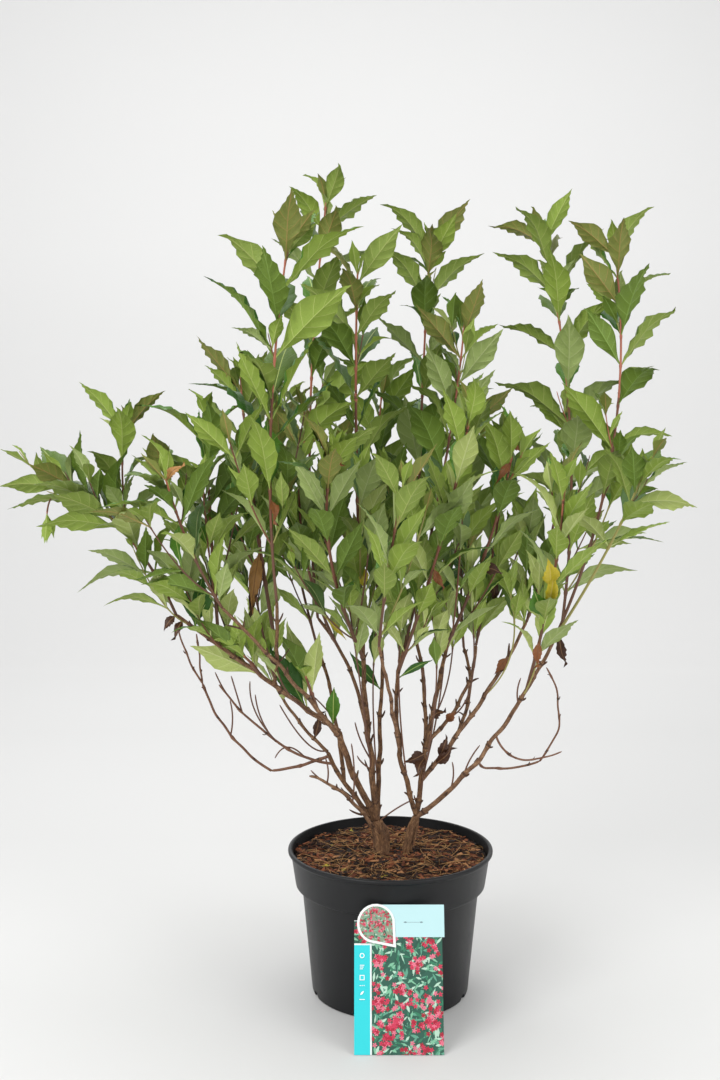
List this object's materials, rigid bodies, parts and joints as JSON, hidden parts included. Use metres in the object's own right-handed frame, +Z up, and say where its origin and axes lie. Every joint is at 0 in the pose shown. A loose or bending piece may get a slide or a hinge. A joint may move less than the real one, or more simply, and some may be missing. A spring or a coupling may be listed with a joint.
{
  "type": "potted weigela shrub",
  "caption": "Upright branching shrub with opposite pointed leaves on bare-footed canes, in a round nursery pot filled with bark substrate, with a plant card leaning on it.",
  "frame": {"origin": "centre of the pot's flat underside, on the surface that it stands on", "axes": "+Z up along the canes; -Y is the front, where the card leans; +X is to the right as seen from the front"},
  "size_m": [0.8941, 0.528, 1.1608],
  "materials": {
    "pot_plastic": "fine matte moulded, slight sheen on the rolled rim",
    "bark_substrate": "loose shredded bark, matt",
    "bark": "grey-brown ridged bark, matt",
    "bough_bark": "brown bark with pale lenticels, matt",
    "twig_bark": "thin reddish brown bark, satin",
    "foliage": "satin leaf, darker upper face and paler underside",
    "card_print": "smooth printed card",
    "card_header": "smooth printed card",
    "card_badge": "smooth printed card"
  },
  "bodies": {
    "root": {"pot": "pot_plastic", "soil": "bark_substrate", "label_card": "card_print", "label_header": "card_header", "label_badge": "card_badge", "left_stool": "bark", "right_stool": "bark", "low_stub": "bough_bark", "left_low_cane": "bark", "left_main_cane": "bark", "left_bough": "bough_bark", "left_twin_bough": "bough_bark", "left_stub": "bough_bark", "left_bare_twig": "twig_bark", "arc_low": "twig_bark", "arc_rise": "twig_bark", "arc_end_left": "twig_bark", "arc_end_right": "twig_bark", "centre_cane": "bark", "centre_back_cane": "bark", "centre_left_bough": "bough_bark", "red_cane": "bark", "back_left_cane": "bark", "right_front_cane": "bark", "right_front_fork": "bough_bark", "right_centre_cane": "bark", "right_back_cane": "bark", "right_mid_bough": "bough_bark", "right_bough": "bough_bark", "right_low_bough": "bough_bark", "back_right_cane": "bark", "loop_low": "twig_bark", "loop_rise": "twig_bark", "right_bare_twig": "twig_bark", "far_left_spray": "foliage", "left_front_spray": "foliage", "left_middle_spray": "foliage", "left_tall_spray": "foliage", "left_low_spray": "foliage", "low_front_spray": "foliage", "left_back_spray": "foliage", "red_shoot": "foliage", "tall_back_shoot": "foliage", "centre_left_spray": "foliage", "centre_shoot": "foliage", "front_left_spray": "foliage", "front_centre_spray": "foliage", "back_centre_spray": "foliage", "back_left_spray": "foliage", "centre_right_shoot": "foliage", "right_inner_shoot": "foliage", "light_shoot": "foliage", "right_low_spray": "foliage", "right_middle_spray": "foliage", "back_right_spray": "foliage", "right_back_spray": "foliage", "right_tall_shoot": "foliage", "right_outer_shoot": "foliage", "far_right_spray": "foliage", "right_front_spray": "foliage"}
  },
  "joints": []
}
